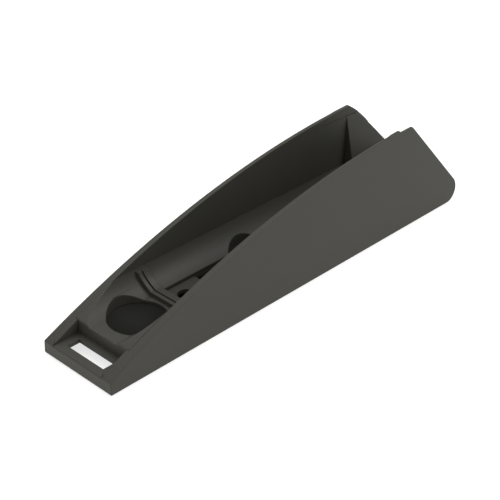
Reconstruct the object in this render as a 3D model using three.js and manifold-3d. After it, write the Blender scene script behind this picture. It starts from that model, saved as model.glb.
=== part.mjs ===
// Hollow moulded door wedge, an assembly of separate pieces: an open wedge shell, an inner tray with a
// trough and two round sockets, a cup and a sleeve under the sockets, a saddle across the trough, a frame at
// the rear end, a base plate screwed on from below, and rubber pads under it.
// Millimetres, +X from the thin nose to the thick rear, +Z up.

import * as THREE from "three";
import { mergeVertices } from "three/addons/utils/BufferGeometryUtils.js";
import Module from "manifold-3d";

// ---- Driving dimensions -------------------------------------------------------------------------------

const GAP = 0.3; // clearance between neighbouring pieces

// Side outline of the wedge.
const REAR_FOOT_X = 160; // where the sloped rear edge would meet the underside
const REAR_TOP_X = 129.5; // top of the sloped rear edge
const FOOT_RADIUS = 4.8; // rounded heel
const NOSE_HEIGHT = 4.1;
const RIM_RADIUS = 304; // the rim is one long arc
const RIM_CENTRE_X = 134.7;
const LEFT_CORNER = { z: 25.5, radius: 55, turn: 0.45 }; // the left wall's rear edge curves in above z
const RIM_STEP_X = 123.8; // the right wall's rim drops a little behind here
const RIM_STEP = 1;

// Cross-section.
const BASE_WIDTH = 29.5;
const SIDE_DRAFT = THREE.MathUtils.degToRad(3.5); // the side walls lean in towards the rim
const CHANNEL_HALF = 11.4; // inner faces of the side walls
const DECK_TOP = 6.7; // the shell's deck carries the tray and the rear end frame
const DECK_BOTTOM = 5.2;

// Cavities under the deck and under the nose.
const CAVITY_X = [12.2, 146.3];
const CAVITY_HALF = 12.4;
const NOSE_CAVITY_X = 2;
const NOSE_UNDERSIDE = 2.6;

// Nose recess with its strap slot.
const RECESS_HALF = 10.5;
const RECESS_END_X = 9.5;
const SLOT_X = [3.1, 7.5];
const SLOT_HALF = 7.85;

// Tray: a round trough with a flat strip along its bottom, and an apron over the deck's front edge.
const TRAY_END_X = 125.4;
const TRAY_HALF = CHANNEL_HALF - GAP;
const TRAY_BOTTOM = DECK_TOP + GAP;
const TRAY_LIP = 13.6;
const TROUGH_RADIUS = 11.95;
const TROUGH_CENTRE_Z = 18.46;
const FLOOR_Z = 7.83;
const APRON_THICKNESS = 1.7;

// Round sockets through tray and deck: a shallow cup ends the front one, an open sleeve lines the rear one.
const SOCKET_RADIUS = 8.96;
const SOCKET_X = { front: 22.7, rear: 71.8 };
const SLEEVE_WALL = 0.8;
const CUP_DEPTH = 3.6;

// Pocket between the sockets: an opening in the tray, with an opening and a round hole in the deck below.
const POCKET_X = [37.2, 66];
const POCKET_HALF = 5.5;
const DECK_WINDOW_X = [50.3, 59.5];
const DECK_HOLE = { x: 41.8, r: 2.8 };

// Saddle across the trough: two ribs on a thin band, leaning towards the nose.
const SADDLE_X = [32.8, 37];
const SADDLE_RIBS = [[32.8, 34.1], [34.6, 37]];
const SADDLE_TOP = 14.2;
const SADDLE_RIB = 1.1;
const SADDLE_BAND = 0.6;
const SADDLE_LEAN = 0.15;

// Rear end frame: two cheeks that grow thicker downwards, and a low sloped wall on a foot plate.
const CHEEK_SEAT_X = 125.6; // the side walls are thinner behind here
const CHEEK_SEAT_HALF = 11.9;
const CHEEK_TOP = 31.9;
const CHEEK_SLANT = 0.21; // how far the inner face comes in for each millimetre down
const END_INSET = 0.7; // from the shell's rear edges, sloped and curved
const END_WALL = 2;
const END_WALL_TOP = 15;
const FOOT_PLATE_TOP = 8.6;
const FOOT_PLATE_X = 128;

// Base plate and the rubber pads let into it.
const PLATE_X = [CAVITY_X[0] + GAP, CAVITY_X[1] - GAP];
const PLATE_Z = [0.3, 1.9];
const PAD_PROUD = 0.4; // the pads stand this far below the shell
const PAD_HALF = 8.5;
const PAD_DEPTH = 0.9; // depth of a pad's groove in the plate
const PADS = { front: [14.5, 35], middle: [47, 81], rear: [94, 113] };

// Screws come up from the base plate into bosses that reach down through the deck.
const SCREW_HEAD = { r: 2.9, z: 0.5, height: 1.1 };
const SCREW_SHANK = 1.5;
const DRIVE = { reach: 1.8, half: 0.35, depth: 0.6 }; // cross recess
const BOSS_RADIUS = 3;
const TRAY_SCREW = { x: { front: 87.5, rear: 120 }, top: 6.4 };
const FRAME_SCREW = { x: 140, y: { right: -6, left: 6 }, top: 7.6 };

// Faceting.
const ARC_STEPS = 20;
const ROUND_STEPS = 40;
const FAR = 60; // reaches clear of the part in any direction

// ---- Derived outline points ---------------------------------------------------------------------------

const rimCentreZ = NOSE_HEIGHT - Math.sqrt(RIM_RADIUS ** 2 - RIM_CENTRE_X ** 2);
const rimHeight = (x) => rimCentreZ + Math.sqrt(RIM_RADIUS ** 2 - (x - RIM_CENTRE_X) ** 2);
const rearTop = new THREE.Vector2(REAR_TOP_X, rimHeight(REAR_TOP_X));
const rearFoot = new THREE.Vector2(REAR_FOOT_X, 0);
const rearSlope = rearTop.clone().sub(rearFoot).normalize(); // up the sloped rear edge
const rearNormal = new THREE.Vector2(rearSlope.y, -rearSlope.x); // out of the rear edge
const slopeAngle = Math.atan2(rearTop.y, REAR_FOOT_X - REAR_TOP_X);
const footTangent = FOOT_RADIUS / Math.tan(slopeAngle / 2);
const OVERALL_LENGTH = REAR_FOOT_X - footTangent + FOOT_RADIUS;

// ---- Solids -------------------------------------------------------------------------------------------

const wasm = await Module();
wasm.setup();

function solid(geometry) {
  geometry.deleteAttribute("normal");
  geometry.deleteAttribute("uv");
  const merged = mergeVertices(geometry, 1e-5);
  return new wasm.Manifold(new wasm.Mesh({
    numProp: 3,
    vertProperties: Float32Array.from(merged.attributes.position.array),
    triVerts: Uint32Array.from(merged.index.array),
  }));
}

function extrude(shape, depth) {
  return new THREE.ExtrudeGeometry(shape, { depth, bevelEnabled: false, curveSegments: ARC_STEPS });
}

// A shape drawn in X and Z, filled from y0 to y1.
function acrossY(shape, y0, y1) {
  return solid(extrude(shape, y1 - y0).rotateX(Math.PI / 2).translate(0, y1, 0));
}

// A shape drawn in Y and Z, filled from x0 to x1. With `lean` it leans towards the nose above FLOOR_Z.
function alongX(shape, x0, x1, lean = 0) {
  const turn = new THREE.Matrix4().makeBasis(
    new THREE.Vector3(0, 1, 0), new THREE.Vector3(-lean, 0, 1), new THREE.Vector3(1, 0, 0));
  return solid(extrude(shape, x1 - x0).applyMatrix4(turn).translate(x0 + lean * FLOOR_Z, 0, 0));
}

function polygon(points) {
  return new THREE.Shape(points.map(([a, b]) => new THREE.Vector2(a, b)));
}

function box([x0, x1], [y0, y1], [z0, z1]) {
  return acrossY(polygon([[x0, z0], [x1, z0], [x1, z1], [x0, z1]]), y0, y1);
}

// A box that is symmetric about the middle plane.
function middleBox(spanX, half, spanZ) {
  return box(spanX, [-half, half], spanZ);
}

function cylinder(x, y, radius, z0, z1) {
  const geometry = new THREE.CylinderGeometry(radius, radius, z1 - z0, ROUND_STEPS);
  return solid(geometry.rotateX(Math.PI / 2).translate(x, y, (z0 + z1) / 2));
}

// ---- Outlines -----------------------------------------------------------------------------------------

// Side outline of the wedge.
function wedgeOutline() {
  const shape = new THREE.Shape();
  shape.moveTo(0, 0);
  shape.lineTo(REAR_FOOT_X - footTangent, 0);
  shape.absarc(REAR_FOOT_X - footTangent, FOOT_RADIUS, FOOT_RADIUS, -Math.PI / 2, rearNormal.angle(), false);
  const topAngle = Math.atan2(rearTop.y - rimCentreZ, rearTop.x - RIM_CENTRE_X);
  const noseAngle = Math.atan2(NOSE_HEIGHT - rimCentreZ, -RIM_CENTRE_X);
  shape.absarc(RIM_CENTRE_X, rimCentreZ, RIM_RADIUS, topAngle, noseAngle, false);
  return shape;
}

// Cross-section of the drafted sides.
function draftedSection() {
  const half = BASE_WIDTH / 2;
  const topHalf = half - FAR * Math.tan(SIDE_DRAFT);
  return polygon([[-half, 0], [half, 0], [topHalf, FAR], [-topHalf, FAR]]);
}

// Cross-section of the trough's hollow, open upwards, drawn `inset` inside its surface.
function troughHollow(inset) {
  const radius = TROUGH_RADIUS - inset;
  const bottom = FLOOR_Z + inset;
  const stripAngle = Math.acos((TROUGH_CENTRE_Z - bottom) / radius);
  const stripHalf = radius * Math.sin(stripAngle);
  const shape = new THREE.Shape();
  shape.moveTo(-stripHalf, bottom);
  shape.lineTo(stripHalf, bottom);
  shape.absarc(0, TROUGH_CENTRE_Z, radius, stripAngle - Math.PI / 2, 0, false);
  shape.lineTo(radius, FAR);
  shape.lineTo(-radius, FAR);
  shape.absarc(0, TROUGH_CENTRE_Z, radius, Math.PI, 1.5 * Math.PI - stripAngle, false);
  return shape;
}

// X of the sloped rear edge at height z, moved in from the edge by `inset`.
function rearEdgeX(z, inset) {
  const run = (REAR_FOOT_X - REAR_TOP_X) / rearTop.y;
  return REAR_FOOT_X - z * run - inset / rearNormal.x;
}

// ---- Pieces -------------------------------------------------------------------------------------------

function wedgeShell() {
  const wedge = acrossY(wedgeOutline(), -FAR, FAR).intersect(alongX(draftedSection(), -FAR, 4 * FAR));
  const channelX = [RECESS_END_X - GAP, 4 * FAR];
  const apronSeatX = [RECESS_END_X - GAP, RECESS_END_X + APRON_THICKNESS + GAP];
  const hollows = [
    beyondCorner(0),
    rimStep(),
    middleBox(channelX, CHANNEL_HALF, [DECK_TOP, FAR]),
    middleBox(apronSeatX, CHANNEL_HALF, [NOSE_HEIGHT, FAR]),
    middleBox([-FAR, RECESS_END_X], RECESS_HALF, [NOSE_HEIGHT, FAR]),
    middleBox(SLOT_X, SLOT_HALF, [-FAR, FAR]),
    middleBox([NOSE_CAVITY_X, CAVITY_X[1]], CAVITY_HALF, [-FAR, NOSE_UNDERSIDE]),
    middleBox(CAVITY_X, CAVITY_HALF, [-FAR, DECK_BOTTOM]),
    middleBox([CHEEK_SEAT_X, 4 * FAR], CHEEK_SEAT_HALF, [DECK_TOP, CHEEK_TOP + GAP]),
    middleBox(DECK_WINDOW_X, POCKET_HALF, [-FAR, FAR]),
    cylinder(DECK_HOLE.x, 0, DECK_HOLE.r, 0, FAR),
    ...Object.values(SOCKET_X).map((x) => cylinder(x, 0, SOCKET_RADIUS + SLEEVE_WALL + GAP, 0, FAR)),
    ...screws().map(({ x, y }) => cylinder(x, y, BOSS_RADIUS + GAP, 0, FAR)),
  ];
  return hollows.reduce((body, hollow) => body.subtract(hollow), wedge);
}

// The space beyond the left wall's curved rear corner, moved in from the corner by `inset`.
function beyondCorner(inset) {
  const { z, radius, turn } = LEFT_CORNER;
  const centre = new THREE.Vector2(rearEdgeX(z, 0), z).addScaledVector(rearNormal, -radius);
  const start = centre.clone().addScaledVector(rearNormal, radius - inset);
  const shape = new THREE.Shape();
  shape.moveTo(start.x, start.y);
  shape.absarc(centre.x, centre.y, radius - inset, rearNormal.angle(), rearNormal.angle() + turn, false);
  shape.lineTo(shape.currentPoint.x, FAR);
  shape.lineTo(REAR_FOOT_X, FAR);
  shape.lineTo(REAR_FOOT_X, start.y);
  return acrossY(shape, 0, FAR);
}

// The space above the right wall's lowered rim.
function rimStep() {
  const shape = new THREE.Shape();
  const lowered = (x) => rimHeight(x) - RIM_STEP;
  shape.moveTo(RIM_STEP_X, lowered(RIM_STEP_X));
  shape.lineTo(REAR_TOP_X, lowered(REAR_TOP_X));
  shape.lineTo(REAR_FOOT_X, lowered(REAR_FOOT_X));
  shape.lineTo(REAR_FOOT_X, FAR);
  shape.lineTo(RIM_STEP_X, FAR);
  return acrossY(shape, -FAR, 0);
}

function innerTray() {
  let tray = middleBox([RECESS_END_X, TRAY_END_X], TRAY_HALF, [TRAY_BOTTOM, TRAY_LIP]);
  const apronX = [RECESS_END_X, RECESS_END_X + APRON_THICKNESS];
  tray = tray.add(middleBox(apronX, TRAY_HALF, [NOSE_HEIGHT + GAP, TRAY_LIP]));
  tray = tray.intersect(acrossY(wedgeOutline(), -FAR, FAR));
  tray = tray.subtract(alongX(troughHollow(0), -FAR, 4 * FAR));
  for (const x of Object.values(SOCKET_X)) tray = tray.subtract(cylinder(x, 0, SOCKET_RADIUS, 0, FAR));
  tray = tray.subtract(middleBox(POCKET_X, POCKET_HALF, [0, FAR]));
  return addBosses(tray, screws().filter(({ name }) => name.startsWith("tray")));
}

// Round bosses that reach down through the deck to the base plate, each with a screw's hole.
function addBosses(piece, fasteners) {
  for (const { x, y, top } of fasteners) {
    piece = piece.add(cylinder(x, y, BOSS_RADIUS, PLATE_Z[1] + GAP, TRAY_BOTTOM + GAP))
      .subtract(cylinder(x, y, SCREW_SHANK + GAP, 0, top + GAP));
  }
  return piece;
}

// A tube that lines a socket, from the base plate up to the tray.
function socketSleeve(x) {
  const [bottom, top] = [PLATE_Z[1] + GAP, DECK_TOP];
  return cylinder(x, 0, SOCKET_RADIUS + SLEEVE_WALL, bottom, top)
    .subtract(cylinder(x, 0, SOCKET_RADIUS, bottom - GAP, top + GAP));
}

// A sleeve closed by a shallow round cup.
function socketCup(x) {
  const ball = (SOCKET_RADIUS ** 2 + CUP_DEPTH ** 2) / (2 * CUP_DEPTH);
  const sphere = (radius) => solid(new THREE.SphereGeometry(radius, 2 * ROUND_STEPS, ROUND_STEPS)
    .rotateX(Math.PI / 2).translate(x, 0, DECK_TOP - CUP_DEPTH + ball));
  const core = cylinder(x, 0, SOCKET_RADIUS + SLEEVE_WALL / 2, 0, DECK_TOP);
  const bowl = core.intersect(sphere(ball + SLEEVE_WALL));
  return socketSleeve(x).add(bowl).subtract(sphere(ball));
}

function saddleRib() {
  const layer = (thickness, [x0, x1]) => alongX(troughHollow(GAP), x0, x1, SADDLE_LEAN)
    .subtract(alongX(troughHollow(GAP + thickness), x0 - GAP, x1 + GAP, SADDLE_LEAN));
  let saddle = layer(SADDLE_BAND, SADDLE_X);
  for (const rib of SADDLE_RIBS) saddle = saddle.add(layer(SADDLE_RIB, rib));
  return saddle.intersect(middleBox([0, FAR], FAR, [0, SADDLE_TOP]));
}

function rearEndFrame() {
  const bottom = TRAY_BOTTOM;
  const outer = CHEEK_SEAT_HALF - GAP;
  const rear = (z) => rearEdgeX(z, END_INSET);
  const wallFront = (z) => rear(z) - END_WALL / rearNormal.x;
  // Side outline from frontX(z) to the sloped rear edge, up to `top`.
  const outline = (frontX, top) => polygon([
    [frontX(bottom), bottom], [rear(bottom), bottom], [rear(top), top], [frontX(top), top],
  ]);
  let frame = acrossY(outline(wallFront, END_WALL_TOP), -outer, outer);
  frame = frame.add(acrossY(outline(() => FOOT_PLATE_X, FOOT_PLATE_TOP), -outer, outer));
  const cheekOutline = acrossY(outline(() => CHEEK_SEAT_X + GAP, CHEEK_TOP), -outer, outer);
  const footIn = CHANNEL_HALF - (CHEEK_TOP - bottom) * CHEEK_SLANT;
  for (const side of [1, -1]) {
    const section = [[outer, bottom], [outer, CHEEK_TOP], [CHANNEL_HALF, CHEEK_TOP], [footIn, bottom]];
    const cheek = alongX(polygon(section.map(([y, z]) => [side * y, z])), CHEEK_SEAT_X, REAR_FOOT_X);
    frame = frame.add(cheek.intersect(cheekOutline));
  }
  frame = frame.subtract(beyondCorner(END_INSET));
  return addBosses(frame, screws().filter(({ name }) => name.startsWith("frame")));
}

function basePlate() {
  let plate = middleBox(PLATE_X, CAVITY_HALF - GAP, PLATE_Z);
  for (const [x0, x1] of Object.values(PADS)) {
    const groove = middleBox([x0 - GAP, x1 + GAP], PAD_HALF + GAP, [-FAR, PLATE_Z[0] + PAD_DEPTH]);
    plate = plate.subtract(groove);
  }
  for (const { x, y } of screws()) {
    plate = plate.subtract(cylinder(x, y, SCREW_SHANK + GAP, -FAR, FAR));
    plate = plate.subtract(screwHead(x, y, GAP));
  }
  return plate;
}

function solePad(span) {
  return middleBox(span, PAD_HALF, [-PAD_PROUD, PLATE_Z[0] + PAD_DEPTH - GAP]);
}

function screws() {
  const trayScrews = Object.entries(TRAY_SCREW.x).map(([place, x]) => (
    { name: `tray_screw_${place}`, x, y: 0, top: TRAY_SCREW.top }));
  const frameScrews = Object.entries(FRAME_SCREW.y).map(([side, y]) => (
    { name: `frame_screw_${side}`, x: FRAME_SCREW.x, y, top: FRAME_SCREW.top }));
  return [...trayScrews, ...frameScrews];
}

// Countersunk head, or with `room` the seat that leaves room round it.
function screwHead(x, y, room) {
  const { r, z, height } = SCREW_HEAD;
  const low = room > 0 ? -GAP : z;
  const top = z + height + room;
  const points = [[0, low], [r + room, low], [r + room, z + room], [SCREW_SHANK + room, top], [0, top]];
  const profile = points.map(([a, b]) => new THREE.Vector2(a, b));
  return solid(new THREE.LatheGeometry(profile, ROUND_STEPS / 2).rotateX(Math.PI / 2).translate(x, y, 0));
}

function screw({ x, y, top }) {
  const { reach, half, depth } = DRIVE;
  const recessZ = [0, SCREW_HEAD.z + depth];
  const cross = box([x - reach, x + reach], [y - half, y + half], recessZ)
    .add(box([x - half, x + half], [y - reach, y + reach], recessZ));
  return screwHead(x, y, 0).add(cylinder(x, y, SCREW_SHANK, SCREW_HEAD.z + depth, top)).subtract(cross);
}

// ---- Assembly -----------------------------------------------------------------------------------------

const plastic = (color) => new THREE.MeshStandardMaterial({ color, roughness: 0.55, metalness: 0 });
const finishes = {
  shell: plastic("#504f4a"),
  insert: plastic("#4d4c48"),
  plate: plastic("#3f3e3b"),
  rubber: new THREE.MeshStandardMaterial({ color: "#1c1c1c", roughness: 0.9, metalness: 0 }),
  steel: new THREE.MeshStandardMaterial({ color: "#a9abad", roughness: 0.35, metalness: 1 }),
};

function named(name, manifold, material) {
  const { vertProperties, triVerts } = manifold.getMesh();
  const geometry = new THREE.BufferGeometry();
  geometry.setAttribute("position", new THREE.BufferAttribute(vertProperties, 3));
  geometry.setIndex(new THREE.BufferAttribute(triVerts, 1));
  const mesh = new THREE.Mesh(geometry, material);
  mesh.name = name;
  return mesh;
}

const wedge = new THREE.Group();
wedge.add(named("wedge_shell", wedgeShell(), finishes.shell));
wedge.add(named("inner_tray", innerTray(), finishes.insert));
wedge.add(named("front_socket_cup", socketCup(SOCKET_X.front), finishes.insert));
wedge.add(named("rear_socket_sleeve", socketSleeve(SOCKET_X.rear), finishes.insert));
wedge.add(named("saddle_rib", saddleRib(), finishes.insert));
wedge.add(named("rear_end_frame", rearEndFrame(), finishes.insert));
wedge.add(named("base_plate", basePlate(), finishes.plate));
for (const [place, span] of Object.entries(PADS)) {
  wedge.add(named(`sole_pad_${place}`, solePad(span), finishes.rubber));
}
for (const fastener of screws()) wedge.add(named(fastener.name, screw(fastener), finishes.steel));

// The origin is under the middle of the overall length, on the surface the pads stand on.
wedge.position.set(-OVERALL_LENGTH / 2, 0, PAD_PROUD);

const part = new THREE.Group();
part.add(wedge);

export default part;
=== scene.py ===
"""A hollow moulded door wedge: the fine surfaces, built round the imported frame."""
import math

import bmesh
import bpy
from mathutils import Matrix, Vector


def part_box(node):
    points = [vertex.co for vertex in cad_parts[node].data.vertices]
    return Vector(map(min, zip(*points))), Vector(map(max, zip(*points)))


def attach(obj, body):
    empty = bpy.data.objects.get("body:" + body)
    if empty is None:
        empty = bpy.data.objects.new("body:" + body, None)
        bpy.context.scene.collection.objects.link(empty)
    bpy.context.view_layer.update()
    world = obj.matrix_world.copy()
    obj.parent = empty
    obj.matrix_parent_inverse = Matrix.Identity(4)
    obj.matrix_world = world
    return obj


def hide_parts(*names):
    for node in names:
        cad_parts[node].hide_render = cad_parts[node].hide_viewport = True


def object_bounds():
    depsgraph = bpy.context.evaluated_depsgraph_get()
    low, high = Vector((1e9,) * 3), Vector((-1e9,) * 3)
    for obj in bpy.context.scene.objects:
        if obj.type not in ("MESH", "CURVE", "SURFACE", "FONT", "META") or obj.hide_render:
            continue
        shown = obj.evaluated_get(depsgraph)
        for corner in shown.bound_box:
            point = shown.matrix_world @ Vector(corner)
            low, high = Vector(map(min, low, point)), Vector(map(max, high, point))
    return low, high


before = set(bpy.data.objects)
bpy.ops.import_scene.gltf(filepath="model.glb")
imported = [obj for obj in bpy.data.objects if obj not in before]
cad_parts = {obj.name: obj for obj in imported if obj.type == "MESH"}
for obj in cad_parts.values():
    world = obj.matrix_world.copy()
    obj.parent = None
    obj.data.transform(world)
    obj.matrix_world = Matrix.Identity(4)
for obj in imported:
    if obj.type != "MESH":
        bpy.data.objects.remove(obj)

cad_low, cad_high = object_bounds()

# ---- Sizes: millimetres from the foot of the nose, X to the rear, Z up --------------------------------

MM = 0.001
shell_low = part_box("wedge_shell")[0]
BODY_TO_FRAME = Matrix.Translation((shell_low.x, 0, shell_low.z)) @ Matrix.Scale(MM, 4)


def span(node):
    """Lowest and highest corner of a CAD node, in the body's millimetres."""
    to_body = BODY_TO_FRAME.inverted()
    return tuple(to_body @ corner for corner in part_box(node))


FAR = 200.0  # reaches clear of the wedge in any direction
SEAM = 0.03  # hairline between neighbouring mouldings

REAR_FOOT_X = 160.0
REAR_TOP_X = 129.5
FOOT_RADIUS = 4.8
NOSE_HEIGHT = 4.1
RIM_RADIUS = 304.0
RIM_CENTRE_X = 134.7
NOSE_ROUND = 0.6
LEFT_CORNER_Z = 25.5
LEFT_CORNER_RADIUS = 55.0
LEFT_CORNER_TURN = 0.45
RIM_STEP_X = 123.8
RIM_STEP = 1.0
RIM_ROUNDING_X = (50.0, 118.0)
RIM_ROUNDING_GAIN = 0.4
REAR_CORNER_ROUND = 0.12
SHELL_EDGE = 0.35
SLOT_EDGE = 0.2
FINE_EDGE = 0.15

BASE_HALF = span("wedge_shell")[1].y
SIDE_DRAFT = math.tan(math.radians(3.5))
CHANNEL_HALF = 11.4
DECK_TOP = 6.7
DECK_BOTTOM = 5.2
CAVITY_X = (12.2, 146.3)
CAVITY_HALF = 12.4
NOSE_CAVITY_X = 2.0
NOSE_UNDERSIDE = 2.6

RECESS_HALF = 10.5
RECESS_END_X = span("inner_tray")[0].x
SLOT_X = (3.1, 7.5)
SLOT_HALF = 7.85

TRAY_END_X = span("inner_tray")[1].x
TRAY_HALF = CHANNEL_HALF - SEAM
LIP_WIDTH = 0.04
TROUGH_RADIUS = 11.95
TROUGH_CENTRE_Z = 18.46
FLOOR_Z = 7.83
APRON = 1.7
APRON_END_X = RECESS_END_X + APRON
APRON_ROUND = 0.4
SOCKET_RADIUS = 8.96
SLEEVE_WALL = 0.8
CUP_DEPTH = 3.6
POCKET_X = (37.2, 66.0)
POCKET_HALF = 5.5
DECK_WINDOW_X = (50.3, 59.5)
DECK_HOLE_X = 41.8
DECK_HOLE_RADIUS = 2.8

SADDLE_RIBS = ((32.8, 34.1), (34.6, 37.0))
SADDLE_RIB = 1.4  # height above the trough's surface
SADDLE_BAND = 0.85
SADDLE_LEAN = 0.15

# A cheek's inner face comes in by CHEEK_SLANT for each millimetre down.
CHEEK_SEAT_X = 125.6
CHEEK_SEAT_HALF = 11.9
CHEEK_TOP = span("rear_end_frame")[1].z
CHEEK_SLANT = 0.21
END_INSET = 0.7
END_WALL = 2.0
END_WALL_TOP = 15.0
FOOT_PLATE_X = 128.0
FOOT_PLATE_TOP = 8.6

PAD_RIB_PITCH = 2.2
PAD_GROOVE = 0.8
PAD_GROOVE_DEPTH = 0.55
BOSS_RADIUS = 3.0
SCREW_SHANK = 1.5
SEAT_RADIUS = 3.2  # of a screw head's countersunk seat
SEAT_Z = (0.75, 1.95)
SEAT_ROOM = 0.3
HEAD_EDGE = 0.15
SHANK_CHAMFER = 0.4
CROSS_DEPTH = 0.8
CROSS_REACH = 1.8
CROSS_HALF = 0.35

SHARP = math.radians(24)  # edges sharper than this are rounded
ARC_STEPS = 72
ROUND_STEPS = 96

rim_centre_z = NOSE_HEIGHT - math.sqrt(RIM_RADIUS ** 2 - RIM_CENTRE_X ** 2)
TRAY_LIP = TROUGH_CENTRE_Z - math.sqrt(TROUGH_RADIUS ** 2 - (TRAY_HALF - LIP_WIDTH) ** 2)


def rim_height(x):
    return rim_centre_z + math.sqrt(RIM_RADIUS ** 2 - (x - RIM_CENTRE_X) ** 2)


REAR_TOP_Z = rim_height(REAR_TOP_X)
rear_slope = Vector((REAR_TOP_X - REAR_FOOT_X, REAR_TOP_Z)).normalized()  # up the sloped rear edge
rear_normal = Vector((rear_slope.y, -rear_slope.x))  # out of it
FOOT_TANGENT = FOOT_RADIUS / math.tan(math.atan2(REAR_TOP_Z, REAR_FOOT_X - REAR_TOP_X) / 2)


def rear_edge_x(z, inset=0.0):
    """X of the sloped rear edge at height z, moved in from the edge by `inset`."""
    return REAR_FOOT_X - z * (REAR_FOOT_X - REAR_TOP_X) / REAR_TOP_Z - inset / rear_normal.x


# ---- Mesh tools ---------------------------------------------------------------------------------------

def place(bm, name="solid"):
    """Turns a bmesh into an object in the scene, its faces pointing out."""
    bmesh.ops.recalc_face_normals(bm, faces=bm.faces)
    mesh = bpy.data.meshes.new(name)
    bm.to_mesh(mesh)
    bm.free()
    body = bpy.data.objects.new(name, mesh)
    bpy.context.scene.collection.objects.link(body)
    return body


def discard(body):
    mesh = body.data
    bpy.data.objects.remove(body)
    bpy.data.meshes.remove(mesh)


def settle(body):
    """Makes the result of the body's modifiers its own mesh."""
    graph = bpy.context.evaluated_depsgraph_get()
    old, body.data = body.data, bpy.data.meshes.new_from_object(body.evaluated_get(graph))
    body.modifiers.clear()
    bpy.data.meshes.remove(old)


def combine(body, operation, tools):
    for tool in tools:
        modifier = body.modifiers.new("combine", "BOOLEAN")
        modifier.operation = operation
        modifier.solver = "EXACT"
        modifier.object = tool
        settle(body)
        discard(tool)
    return body


def cut(body, *tools):
    return combine(body, "DIFFERENCE", tools)


def join(body, *tools):
    return combine(body, "UNION", tools)


def common(body, *tools):
    return combine(body, "INTERSECT", tools)


def rounded(corners, steps=5):
    """Outline through corners (a, b, radius), each rounded by its radius."""
    points = []
    for i, (a, b, radius) in enumerate(corners):
        corner = Vector((a, b))
        if radius == 0:
            points.append((a, b))
            continue
        before = (Vector(corners[i - 1][:2]) - corner).normalized()
        after = (Vector(corners[(i + 1) % len(corners)][:2]) - corner).normalized()
        # Square corners only: the arc's centre lies one radius along both sides.
        centre = corner + (before + after) * radius
        for j in range(steps + 1):
            angle = math.pi / 2 * j / steps
            spoke = after * math.cos(angle) + before * math.sin(angle)
            points.append(tuple(centre - spoke * radius))
    return points


def prism(points, axis, low, high):
    """Fills an outline between two planes: (y, z) points along x, (x, z) along y, (x, y) along z."""
    put = {
        "x": lambda a, b, t: (t, a, b),
        "y": lambda a, b, t: (a, t, b),
        "z": lambda a, b, t: (a, b, t),
    }[axis]
    bm = bmesh.new()
    rings = [[bm.verts.new(put(a, b, t)) for a, b in points] for t in (low, high)]
    count = len(points)
    for i in range(count):
        j = (i + 1) % count
        bm.faces.new((rings[0][i], rings[0][j], rings[1][j], rings[1][i]))
    for ring in rings:
        bm.faces.new(ring)
    return place(bm)


def block(x, y, z):
    return prism([(x[0], z[0]), (x[1], z[0]), (x[1], z[1]), (x[0], z[1])], "y", *y)


def middle_block(x, half, z):
    return block(x, (-half, half), z)


def arc(centre, radius, start, end, steps=ARC_STEPS):
    """Points along an arc, angles in radians."""
    angles = [start + (end - start) * i / steps for i in range(steps + 1)]
    return [(centre[0] + radius * math.cos(a), centre[1] + radius * math.sin(a)) for a in angles]


def circle(radius, centre=(0.0, 0.0), steps=ROUND_STEPS):
    return arc(centre, radius, 0, math.tau, steps)[:-1]


def cylinder(x, y, radius, z0, z1, steps=ROUND_STEPS):
    return prism(circle(radius, (x, y), steps), "z", z0, z1)


def lathe(x, y, profile, steps=ROUND_STEPS):
    """Turns a profile of (radius, z) about a vertical axis. It starts and ends on the axis."""
    bm = bmesh.new()
    ends = [bm.verts.new((x, y, profile[i][1])) for i in (0, -1)]
    angles = [math.tau * i / steps for i in range(steps)]
    rings = [[bm.verts.new((x + r * math.cos(a), y + r * math.sin(a), z)) for a in angles]
             for r, z in profile[1:-1]]
    for i in range(steps):
        j = (i + 1) % steps
        bm.faces.new((ends[0], rings[0][i], rings[0][j]))
        bm.faces.new((ends[1], rings[-1][j], rings[-1][i]))
        for low, high in zip(rings, rings[1:]):
            bm.faces.new((low[i], low[j], high[j], high[i]))
    return place(bm)


def round_edges(body, radius_at, segments=3):
    """Rounds the outward edges. radius_at gives each edge's radius: a number, or a function of its middle."""
    if not callable(radius_at):
        radius = radius_at
        radius_at = lambda middle: radius
    bm = bmesh.new()
    bm.from_mesh(body.data)
    bmesh.ops.remove_doubles(bm, verts=bm.verts, dist=0.004)
    bmesh.ops.dissolve_limit(bm, angle_limit=math.radians(0.2), verts=bm.verts, edges=bm.edges)
    weight = bm.edges.layers.float.new("bevel_weight_edge")
    radii = {edge: radius_at((edge.verts[0].co + edge.verts[1].co) / 2) for edge in bm.edges
             if edge.is_manifold and edge.is_convex and edge.calc_face_angle(0) > SHARP}
    widest = max(radii.values())
    for edge, radius in radii.items():
        edge[weight] = radius / widest
    bm.to_mesh(body.data)
    bm.free()
    modifier = body.modifiers.new("round", "BEVEL")
    modifier.limit_method = "WEIGHT"
    modifier.width = widest
    modifier.segments = segments
    modifier.use_clamp_overlap = False
    modifier.loop_slide = False
    settle(body)
    return body


def smooth(body):
    """Shades curved faces smooth and keeps flat faces flat."""
    for face in body.data.polygons:
        face.use_smooth = True
    body.data.set_sharp_from_angle(angle=math.radians(40))
    modifier = body.modifiers.new("normals", "WEIGHTED_NORMAL")
    modifier.keep_sharp = True
    modifier.weight = 100
    settle(body)
    return body


def finish_piece(body, name, material, slot, *nodes):
    smooth(body)
    body.name = name
    body.data.name = name
    body.data.transform(BODY_TO_FRAME)
    body.data.materials.clear()
    body.data.materials.append(material)
    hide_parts(*nodes)
    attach(body, "root")
    return body


# ---- Outlines -----------------------------------------------------------------------------------------

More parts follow.
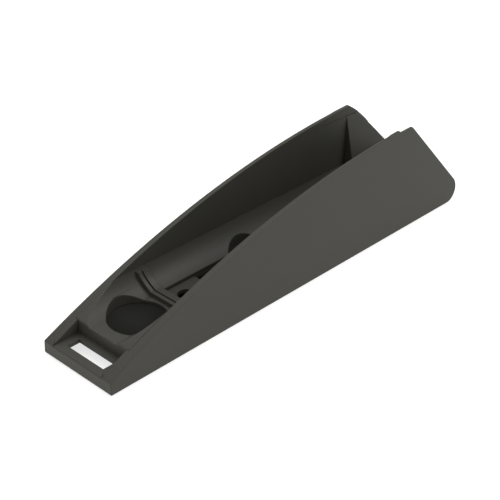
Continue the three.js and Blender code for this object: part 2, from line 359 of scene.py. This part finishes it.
def wedge_outline():
    """Side outline of the wedge."""
    rim_centre = (RIM_CENTRE_X, rim_centre_z)
    nose_angle = math.atan2(NOSE_HEIGHT - rim_centre_z, -RIM_CENTRE_X)
    top_angle = math.atan2(REAR_TOP_Z - rim_centre_z, REAR_TOP_X - RIM_CENTRE_X)
    slope_angle = math.atan2(rear_normal.y, rear_normal.x)
    # The nose's rounding touches its upright front and the rim.
    tangent = NOSE_ROUND * math.tan((math.pi - nose_angle) / 2)
    nose = arc((NOSE_ROUND, NOSE_HEIGHT - tangent), NOSE_ROUND, nose_angle, math.pi, ARC_STEPS // 6)
    rim = [point for point in arc(rim_centre, RIM_RADIUS, top_angle, nose_angle) if point[0] > 2 * NOSE_ROUND]
    foot_centre = (REAR_FOOT_X - FOOT_TANGENT, FOOT_RADIUS)
    foot = arc(foot_centre, FOOT_RADIUS, -math.pi / 2, slope_angle, ARC_STEPS // 3)
    return [(0.0, 0.0)] + foot + rim + nose


def beyond_corner(inset=0.0):
    """The space beyond the left wall's curved rear corner, moved in from the corner by `inset`."""
    centre = Vector((rear_edge_x(LEFT_CORNER_Z), LEFT_CORNER_Z)) - rear_normal * LEFT_CORNER_RADIUS
    angle = math.atan2(rear_normal.y, rear_normal.x)
    curve = arc(centre, LEFT_CORNER_RADIUS - inset, angle, angle + LEFT_CORNER_TURN)
    outline = curve + [(curve[-1][0], FAR), (REAR_FOOT_X, FAR), (REAR_FOOT_X, curve[0][1])]
    return prism(outline, "y", 0, FAR)


def nose_recess():
    """The space over the nose's flat floor, which rounds over into the nose's front."""
    front = arc((NOSE_ROUND, NOSE_HEIGHT - NOSE_ROUND), NOSE_ROUND, math.pi, math.pi / 2, ARC_STEPS // 6)
    low = NOSE_HEIGHT - NOSE_ROUND
    outline = [(-FAR, low)] + front + [(RECESS_END_X, NOSE_HEIGHT), (RECESS_END_X, FAR), (-FAR, FAR)]
    return prism(outline, "y", -RECESS_HALF, RECESS_HALF)


def trough_hollow(inset):
    """Cross-section of the trough's hollow, open upwards, `inset` inside its surface."""
    radius = TROUGH_RADIUS - inset
    strip = math.acos((TROUGH_CENTRE_Z - FLOOR_Z - inset) / radius)
    centre = (0.0, TROUGH_CENTRE_Z)
    right = arc(centre, radius, strip - math.pi / 2, 0, ARC_STEPS // 2)
    left = arc(centre, radius, math.pi, 1.5 * math.pi - strip, ARC_STEPS // 2)
    return right + [(radius, FAR), (-radius, FAR)] + left


# ---- Pieces -------------------------------------------------------------------------------------------

def wedge_body():
    """The wedge's outside, its sides leaning in towards the rim."""
    half_top = BASE_HALF - FAR * SIDE_DRAFT
    section = [(-BASE_HALF, 0), (BASE_HALF, 0), (half_top, FAR), (-half_top, FAR)]
    return common(prism(wedge_outline(), "y", -FAR, FAR), prism(section, "x", -FAR, FAR))


def rim_step():
    """The space above the right wall's lowered rim."""
    lowered = [(x, rim_height(x) - RIM_STEP) for x in (RIM_STEP_X, REAR_TOP_X, REAR_FOOT_X)]
    return prism(lowered + [(REAR_FOOT_X, FAR), (RIM_STEP_X, FAR)], "y", -FAR, 0)


def screw_places():
    """The screws' CAD nodes with their centres."""
    names = [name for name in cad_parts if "screw" in name]
    return {name: sum(span(name), Vector()) / 2 for name in sorted(names)}


def socket_centres():
    return [sum(span(node), Vector()).x / 2 for node in ("front_socket_cup", "rear_socket_sleeve")]


def build_shell():
    body = wedge_body()
    hollows = [
        beyond_corner(),
        rim_step(),
        middle_block((RECESS_END_X - SEAM, FAR), CHANNEL_HALF, (DECK_TOP, FAR)),
        middle_block((RECESS_END_X - SEAM, RECESS_END_X + APRON + SEAM), CHANNEL_HALF, (NOSE_HEIGHT, FAR)),
        nose_recess(),
        middle_block(SLOT_X, SLOT_HALF, (-FAR, FAR)),
        middle_block((NOSE_CAVITY_X, CAVITY_X[1]), CAVITY_HALF, (-FAR, NOSE_UNDERSIDE)),
        middle_block(CAVITY_X, CAVITY_HALF, (-FAR, DECK_BOTTOM)),
        middle_block((CHEEK_SEAT_X, FAR), CHEEK_SEAT_HALF, (DECK_TOP, CHEEK_TOP + SEAM)),
        middle_block(DECK_WINDOW_X, POCKET_HALF, (0, FAR)),
        cylinder(DECK_HOLE_X, 0, DECK_HOLE_RADIUS, 0, FAR, ROUND_STEPS // 2),
    ]
    hollows += [cylinder(x, 0, SOCKET_RADIUS + SLEEVE_WALL + SEAM, 0, FAR) for x in socket_centres()]
    hollows += [cylinder(at.x, at.y, BOSS_RADIUS + SEAM, 0, FAR, ROUND_STEPS // 2)
                for at in screw_places().values()]
    cut(body, *hollows)
    return round_edges(body, shell_edge_radius)


def shell_edge_radius(p):
    inside = abs(p.y) < CHANNEL_HALF + 0.1
    if inside and RIM_ROUNDING_X[0] < p.x < RIM_ROUNDING_X[1]:
        # The rim's inner edge is rounded off more and more towards the rear.
        start, end = RIM_ROUNDING_X
        return FINE_EDGE + RIM_ROUNDING_GAIN * (p.x - start) / (end - start)
    if p.x > RIM_ROUNDING_X[1] and p.z > LEFT_CORNER_Z:
        return REAR_CORNER_ROUND
    if p.x < APRON_END_X and abs(p.y) < SLOT_HALF + 0.1:
        return SLOT_EDGE
    return FINE_EDGE if inside and p.z > NOSE_HEIGHT - 0.1 else SHELL_EDGE


def build_tray():
    bottom = DECK_TOP + SEAM
    body = middle_block((RECESS_END_X, TRAY_END_X), TRAY_HALF, (bottom, TRAY_LIP))
    join(body, middle_block((RECESS_END_X, APRON_END_X), TRAY_HALF, (NOSE_HEIGHT + SEAM, TRAY_LIP - 0.2)))
    common(body, prism(wedge_outline(), "y", -FAR, FAR))
    cut(body, prism(trough_hollow(0), "x", -FAR, FAR))
    cut(body, *[cylinder(x, 0, SOCKET_RADIUS, 0, FAR) for x in socket_centres()])
    cut(body, middle_block(POCKET_X, POCKET_HALF, (0, FAR)))
    plate_top = span("base_plate")[1].z
    for name, at in screw_places().items():
        if name.startswith("tray"):
            join(body, cylinder(at.x, at.y, BOSS_RADIUS, plate_top + SEAM, bottom + 0.2, ROUND_STEPS // 2))
    return round_edges(body, tray_edge_radius)


def tray_edge_radius(p):
    if abs(p.y) > TRAY_HALF - 0.2:
        return LIP_WIDTH / 4
    if p.x < RECESS_END_X + 0.05 and p.z > FLOOR_Z - 0.05:
        return APRON_ROUND
    return 0.2


def build_sleeve(node):
    low, high = span(node)
    x = (low.x + high.x) / 2
    tube = cylinder(x, 0, (high.x - low.x) / 2, low.z, high.z)
    return round_edges(cut(tube, cylinder(x, 0, SOCKET_RADIUS, -FAR, FAR)), 0.15)


def build_cup():
    """A sleeve closed by a shallow round bowl."""
    low, high = span("front_socket_cup")
    x = (low.x + high.x) / 2
    outer = SOCKET_RADIUS + SLEEVE_WALL
    ball = (SOCKET_RADIUS ** 2 + CUP_DEPTH ** 2) / (2 * CUP_DEPTH)
    centre_z = high.z - CUP_DEPTH + ball

    def bowl(radius, reach):
        """The bowl's curve from its rim, `reach` from the axis, down to the axis, as (radius, z)."""
        edge = math.asin(reach / radius)
        angles = [edge * (1 - i / ARC_STEPS) for i in range(ARC_STEPS + 1)]
        return [(radius * math.sin(a), centre_z - radius * math.cos(a)) for a in angles]

    inside = bowl(ball, SOCKET_RADIUS)
    underside = bowl(ball + SLEEVE_WALL, SOCKET_RADIUS)
    tube = [(outer, high.z), (outer, low.z), (SOCKET_RADIUS, low.z)]
    return round_edges(lathe(x, 0, inside[::-1] + tube + underside), 0.1)


def saddle_line(height):
    """Points (y, z) across the trough at a height above its surface, from one end to the other."""
    radius = TROUGH_RADIUS - height
    strip = math.acos((TROUGH_CENTRE_Z - FLOOR_Z - height) / radius)
    end = math.asin((span("saddle_rib")[1].z - TROUGH_CENTRE_Z) / radius)
    left = arc((0.0, TROUGH_CENTRE_Z), radius, strip - math.pi / 2, end, ARC_STEPS // 2)
    return [(-y, z) for y, z in reversed(left)] + left


def build_saddle():
    """Sweeps the saddle's profile, points of (x, height above the trough), across the trough."""
    (first, groove_start), (groove_end, last) = SADDLE_RIBS
    corners = [
        (first, SEAM, 0.0), (first, SADDLE_RIB, 0.25), (groove_start, SADDLE_RIB, 0.12),
        (groove_start, SADDLE_BAND, 0.08), (groove_end, SADDLE_BAND, 0.08), (groove_end, SADDLE_RIB, 0.12),
        (last, SADDLE_RIB, 0.3), (last, SEAM, 0.0),
    ]
    profile = rounded(corners)
    bm = bmesh.new()
    rows = [[bm.verts.new((x - SADDLE_LEAN * (z - FLOOR_Z), y, z)) for y, z in saddle_line(height)]
            for x, height in profile]
    for row, beyond in zip(rows, rows[1:] + rows[:1]):
        for i in range(len(row) - 1):
            bm.faces.new((row[i], row[i + 1], beyond[i + 1], beyond[i]))
    for end in (0, -1):
        bm.faces.new([row[end] for row in rows])
    return place(bm)


def build_end_frame():
    """Two cheeks that grow thicker downwards, and a low sloped wall on a foot plate."""
    bottom = DECK_TOP + SEAM
    outer = CHEEK_SEAT_HALF - SEAM
    front = CHEEK_SEAT_X + SEAM

    def rear(z):
        return rear_edge_x(z, END_INSET)

    def wall_front(z):
        return rear(z) - END_WALL / rear_normal.x

    def inner(z):
        return CHANNEL_HALF - (CHEEK_TOP - z) * CHEEK_SLANT

    outline = [(front, bottom), (rear(bottom), bottom), (rear(CHEEK_TOP), CHEEK_TOP), (front, CHEEK_TOP)]
    body = prism(outline, "y", -outer, outer)
    low, high = bottom - 1, CHEEK_TOP + 1
    gap = [(-inner(low), low), (inner(low), low), (inner(high), high), (-inner(high), high)]
    between = prism(gap, "x", 0, FAR)
    above = [
        (0, low), (FOOT_PLATE_X, low), (FOOT_PLATE_X, FOOT_PLATE_TOP),
        (wall_front(FOOT_PLATE_TOP), FOOT_PLATE_TOP), (wall_front(END_WALL_TOP), END_WALL_TOP),
        (FAR, END_WALL_TOP), (FAR, FAR), (0, FAR),
    ]
    cut(body, common(between, prism(above, "y", -FAR, FAR)), beyond_corner(END_INSET))
    return round_edges(body, lambda p: 0.06 if abs(p.y) > outer - 0.3 else 0.25)


def build_base_plate():
    low, high = span("base_plate")
    body = block((low.x, high.x), (low.y, high.y), (low.z, high.z))
    for place_name in ("front", "middle", "rear"):
        pad_low, pad_high = span(f"sole_pad_{place_name}")
        x = (pad_low.x - SEAM, pad_high.x + SEAM)
        cut(body, middle_block(x, pad_high.y + SEAM, (-FAR, pad_high.z + SEAM)))
    for at in screw_places().values():
        seat = [(0, -1), (SEAT_RADIUS, -1), (SEAT_RADIUS, SEAT_Z[0]),
                (SCREW_SHANK + SEAT_ROOM, SEAT_Z[1]), (0, SEAT_Z[1])]
        cut(body, lathe(at.x, at.y, seat, ROUND_STEPS // 2))
    return round_edges(body, 0.18)


def build_pad(node):
    """A rubber pad with ribs across the way that the wedge slides."""
    low, high = span(node)
    body = block((low.x, high.x), (low.y, high.y), (low.z, high.z))
    count = int((high.x - low.x - PAD_RIB_PITCH) // PAD_RIB_PITCH)
    first = (low.x + high.x - (count - 1) * PAD_RIB_PITCH) / 2
    for i in range(count):
        x = first + i * PAD_RIB_PITCH
        root = low.z + PAD_GROOVE_DEPTH
        groove = [(x - PAD_GROOVE / 2, -FAR), (x + PAD_GROOVE / 2, -FAR),
                  (x + PAD_GROOVE / 3, root), (x - PAD_GROOVE / 3, root)]
        cut(body, prism(groove, "y", -FAR, FAR))
    return round_edges(body, 0.16)


def build_screw(node):
    low, high = span(node)
    x, y = (low.x + high.x) / 2, (low.y + high.y) / 2
    head_radius = (high.x - low.x) / 2
    cone_top = low.z + head_radius - SCREW_SHANK
    profile = [(0, low.z), (head_radius, low.z), (head_radius, low.z + HEAD_EDGE),
               (SCREW_SHANK, cone_top), (SCREW_SHANK, high.z - SHANK_CHAMFER),
               (SCREW_SHANK - SHANK_CHAMFER, high.z), (0, high.z)]
    body = lathe(x, y, profile)
    recess = (-FAR, low.z + CROSS_DEPTH)
    cut(body, block((x - CROSS_REACH, x + CROSS_REACH), (y - CROSS_HALF, y + CROSS_HALF), recess))
    cut(body, block((x - CROSS_HALF, x + CROSS_HALF), (y - CROSS_REACH, y + CROSS_REACH), recess))
    return round_edges(body, 0.08)


# ---- Materials ----------------------------------------------------------------------------------------

def moulded(name, dark, light, roughness, grain, depth, specular=0.22):
    """Moulded polymer: a cloudy tone, a fine grain of `grain` metres, and roughness that varies with both."""
    material = bpy.data.materials.new(name)
    material.use_nodes = True
    nodes, links = material.node_tree.nodes, material.node_tree.links
    shader = nodes["Principled BSDF"]
    shader.inputs["Specular IOR Level"].default_value = specular
    where = nodes.new("ShaderNodeTexCoord")

    def noise(scale, detail, rough):
        node = nodes.new("ShaderNodeTexNoise")
        node.inputs["Scale"].default_value = scale
        node.inputs["Detail"].default_value = detail
        node.inputs["Roughness"].default_value = rough
        links.new(where.outputs["Object"], node.inputs["Vector"])
        return node.outputs["Fac"]

    def spread(factor, low, high):
        node = nodes.new("ShaderNodeMapRange")
        node.inputs["From Min"].default_value = 0.3
        node.inputs["From Max"].default_value = 0.7
        node.inputs["To Min"].default_value = low
        node.inputs["To Max"].default_value = high
        links.new(factor, node.inputs["Value"])
        return node.outputs["Result"]

    cloud = noise(38.0, 4.0, 0.55)
    fine = noise(0.8 / grain, 3.0, 0.6)
    tone = nodes.new("ShaderNodeMix")
    tone.data_type = "RGBA"
    tone.inputs["A"].default_value = (*dark, 1)
    tone.inputs["B"].default_value = (*light, 1)
    blend = nodes.new("ShaderNodeMath")
    blend.operation = "MULTIPLY_ADD"
    blend.inputs[1].default_value = 0.6
    links.new(spread(cloud, 0.0, 1.0), blend.inputs[0])
    links.new(spread(fine, 0.0, 0.4), blend.inputs[2])
    links.new(blend.outputs[0], tone.inputs["Factor"])
    links.new(tone.outputs["Result"], shader.inputs["Base Color"])

    gloss = nodes.new("ShaderNodeMath")
    gloss.operation = "ADD"
    links.new(spread(cloud, roughness - 0.03, roughness + 0.03), gloss.inputs[0])
    links.new(spread(fine, -0.04, 0.04), gloss.inputs[1])
    links.new(gloss.outputs[0], shader.inputs["Roughness"])

    bump = nodes.new("ShaderNodeBump")
    bump.inputs["Strength"].default_value = 0.6
    bump.inputs["Distance"].default_value = depth
    links.new(fine, bump.inputs["Height"])
    links.new(bump.outputs["Normal"], shader.inputs["Normal"])
    return material


def plated_steel():
    tones = (0.40, 0.41, 0.42), (0.56, 0.56, 0.55)
    material = moulded("plated_steel", *tones, 0.32, 0.00012, 0.000008, specular=0.5)
    shader = material.node_tree.nodes["Principled BSDF"]
    shader.inputs["Metallic"].default_value = 1.0
    return material


# ---- Scene --------------------------------------------------------------------------------------------

CAMERA_LENS = 92.86
CAMERA_SENSOR = 36.0
CAMERA_AZIMUTH = math.radians(-45.56)
CAMERA_ELEVATION = math.radians(31.5)
CAMERA_DISTANCE = 0.3985
CAMERA_AIM = Vector((-0.0063, 0.0023, 0.00865))
FLOOR_REACH = 3.0
FLOOR_GAP = 0.00002  # keeps the floor clear of the pads
LIGHT_DISTANCE = 1.6


def make_camera():
    data = bpy.data.cameras.new("camera")
    data.lens = CAMERA_LENS
    data.sensor_width = CAMERA_SENSOR
    camera = bpy.data.objects.new("camera", data)
    bpy.context.scene.collection.objects.link(camera)
    flat, up = math.cos(CAMERA_ELEVATION), math.sin(CAMERA_ELEVATION)
    back = Vector((math.sin(CAMERA_AZIMUTH) * flat, -math.cos(CAMERA_AZIMUTH) * flat, up))
    camera.location = CAMERA_AIM + back * CAMERA_DISTANCE
    camera.rotation_euler = back.to_track_quat("Z", "Y").to_euler()
    bpy.context.scene.camera = camera


def make_floor():
    far = FLOOR_REACH
    bm = bmesh.new()
    corners = [(-far, -far), (far, -far), (far, far), (-far, far)]
    bm.faces.new([bm.verts.new((x, y, cad_low.z - FLOOR_GAP)) for x, y in corners])
    floor = place(bm, "studio_floor")
    material = bpy.data.materials.new("studio_floor")
    material.use_nodes = True
    shader = material.node_tree.nodes["Principled BSDF"]
    shader.inputs["Base Color"].default_value = (0.4, 0.4, 0.4, 1)
    shader.inputs["Roughness"].default_value = 0.9
    shader.inputs["Emission Color"].default_value = (1.0, 1.0, 1.0, 1)
    shader.inputs["Emission Strength"].default_value = 0.72
    floor.data.materials.append(material)


def area_light(name, toward, size, power):
    data = bpy.data.lights.new(name, "AREA")
    data.shape = "DISK"
    data.size = size
    data.energy = power
    light = bpy.data.objects.new(name, data)
    bpy.context.scene.collection.objects.link(light)
    direction = Vector(toward).normalized()
    light.location = direction * LIGHT_DISTANCE
    light.rotation_euler = direction.to_track_quat("Z", "Y").to_euler()


def make_light():
    world = bpy.data.worlds.new("studio")
    bpy.context.scene.world = world
    world.use_nodes = True
    background = world.node_tree.nodes["Background"]
    background.inputs["Color"].default_value = (1.0, 0.99, 0.95, 1)
    background.inputs["Strength"].default_value = 0.8
    area_light("rear_softbox", (0.42, -0.55, 0.72), 0.8, 9.0)
    area_light("nose_softbox", (-0.85, 0.3, 0.45), 1.0, 2.0)
    area_light("top_softbox", (0.1, 0.25, 1.0), 1.2, 9.0)


bpy.context.scene.view_settings.view_transform = "Standard"
make_camera()
make_floor()
make_light()

SHELL_TONES = (0.034, 0.0336, 0.0285), (0.041, 0.0402, 0.0343)
INSERT_TONES = (0.034, 0.0334, 0.0290), (0.040, 0.0392, 0.0342)
# The socket cup's near-black tone is painted shade for the deep bowl at the bottom of the front socket.
CUP_PAINTED_SHADE_TONES = (0.007, 0.0069, 0.0057), (0.010, 0.0098, 0.0080)
PLATE_TONES = (0.014, 0.0138, 0.0125), (0.020, 0.0195, 0.0175)
RUBBER_TONES = (0.010, 0.010, 0.010), (0.018, 0.018, 0.018)
shell_plastic = moulded("shell_plastic", *SHELL_TONES, 0.5, 0.00022, 0.00002)
insert_plastic = moulded("insert_plastic", *INSERT_TONES, 0.46, 0.00018, 0.000012)
# Painted shade: the cup is near-black so that the bowl inside the front socket reads as shaded.
cup_painted_shade = moulded("cup_painted_shade", *CUP_PAINTED_SHADE_TONES, 0.6, 0.00024, 0.00002, specular=0.12)
plate_plastic = moulded("plate_plastic", *PLATE_TONES, 0.55, 0.0003, 0.00004)
pad_rubber = moulded("pad_rubber", *RUBBER_TONES, 0.8, 0.0002, 0.00004)
steel = plated_steel()

finish_piece(build_shell(), "shell_moulding", shell_plastic, "shell_plastic", "wedge_shell")
finish_piece(build_tray(), "tray_moulding", insert_plastic, "insert_plastic", "inner_tray")
# The cup's material is painted shade: its dark tone stands in for the shade inside the socket.
finish_piece(build_cup(), "socket_cup_moulding", cup_painted_shade, "insert_plastic", "front_socket_cup")
rear_sleeve = build_sleeve("rear_socket_sleeve")
finish_piece(rear_sleeve, "socket_sleeve_moulding", insert_plastic, "insert_plastic", "rear_socket_sleeve")
finish_piece(build_saddle(), "saddle_moulding", insert_plastic, "insert_plastic", "saddle_rib")
finish_piece(build_end_frame(), "end_frame_moulding", insert_plastic, "insert_plastic", "rear_end_frame")
finish_piece(build_base_plate(), "base_plate_moulding", plate_plastic, "plate_plastic", "base_plate")
for node in ("sole_pad_front", "sole_pad_middle", "sole_pad_rear"):
    finish_piece(build_pad(node), f"{node}_ribbed", pad_rubber, "pad_rubber", node)
for node in screw_places():
    finish_piece(build_screw(node), f"{node}_body", steel, "screw_steel", node)
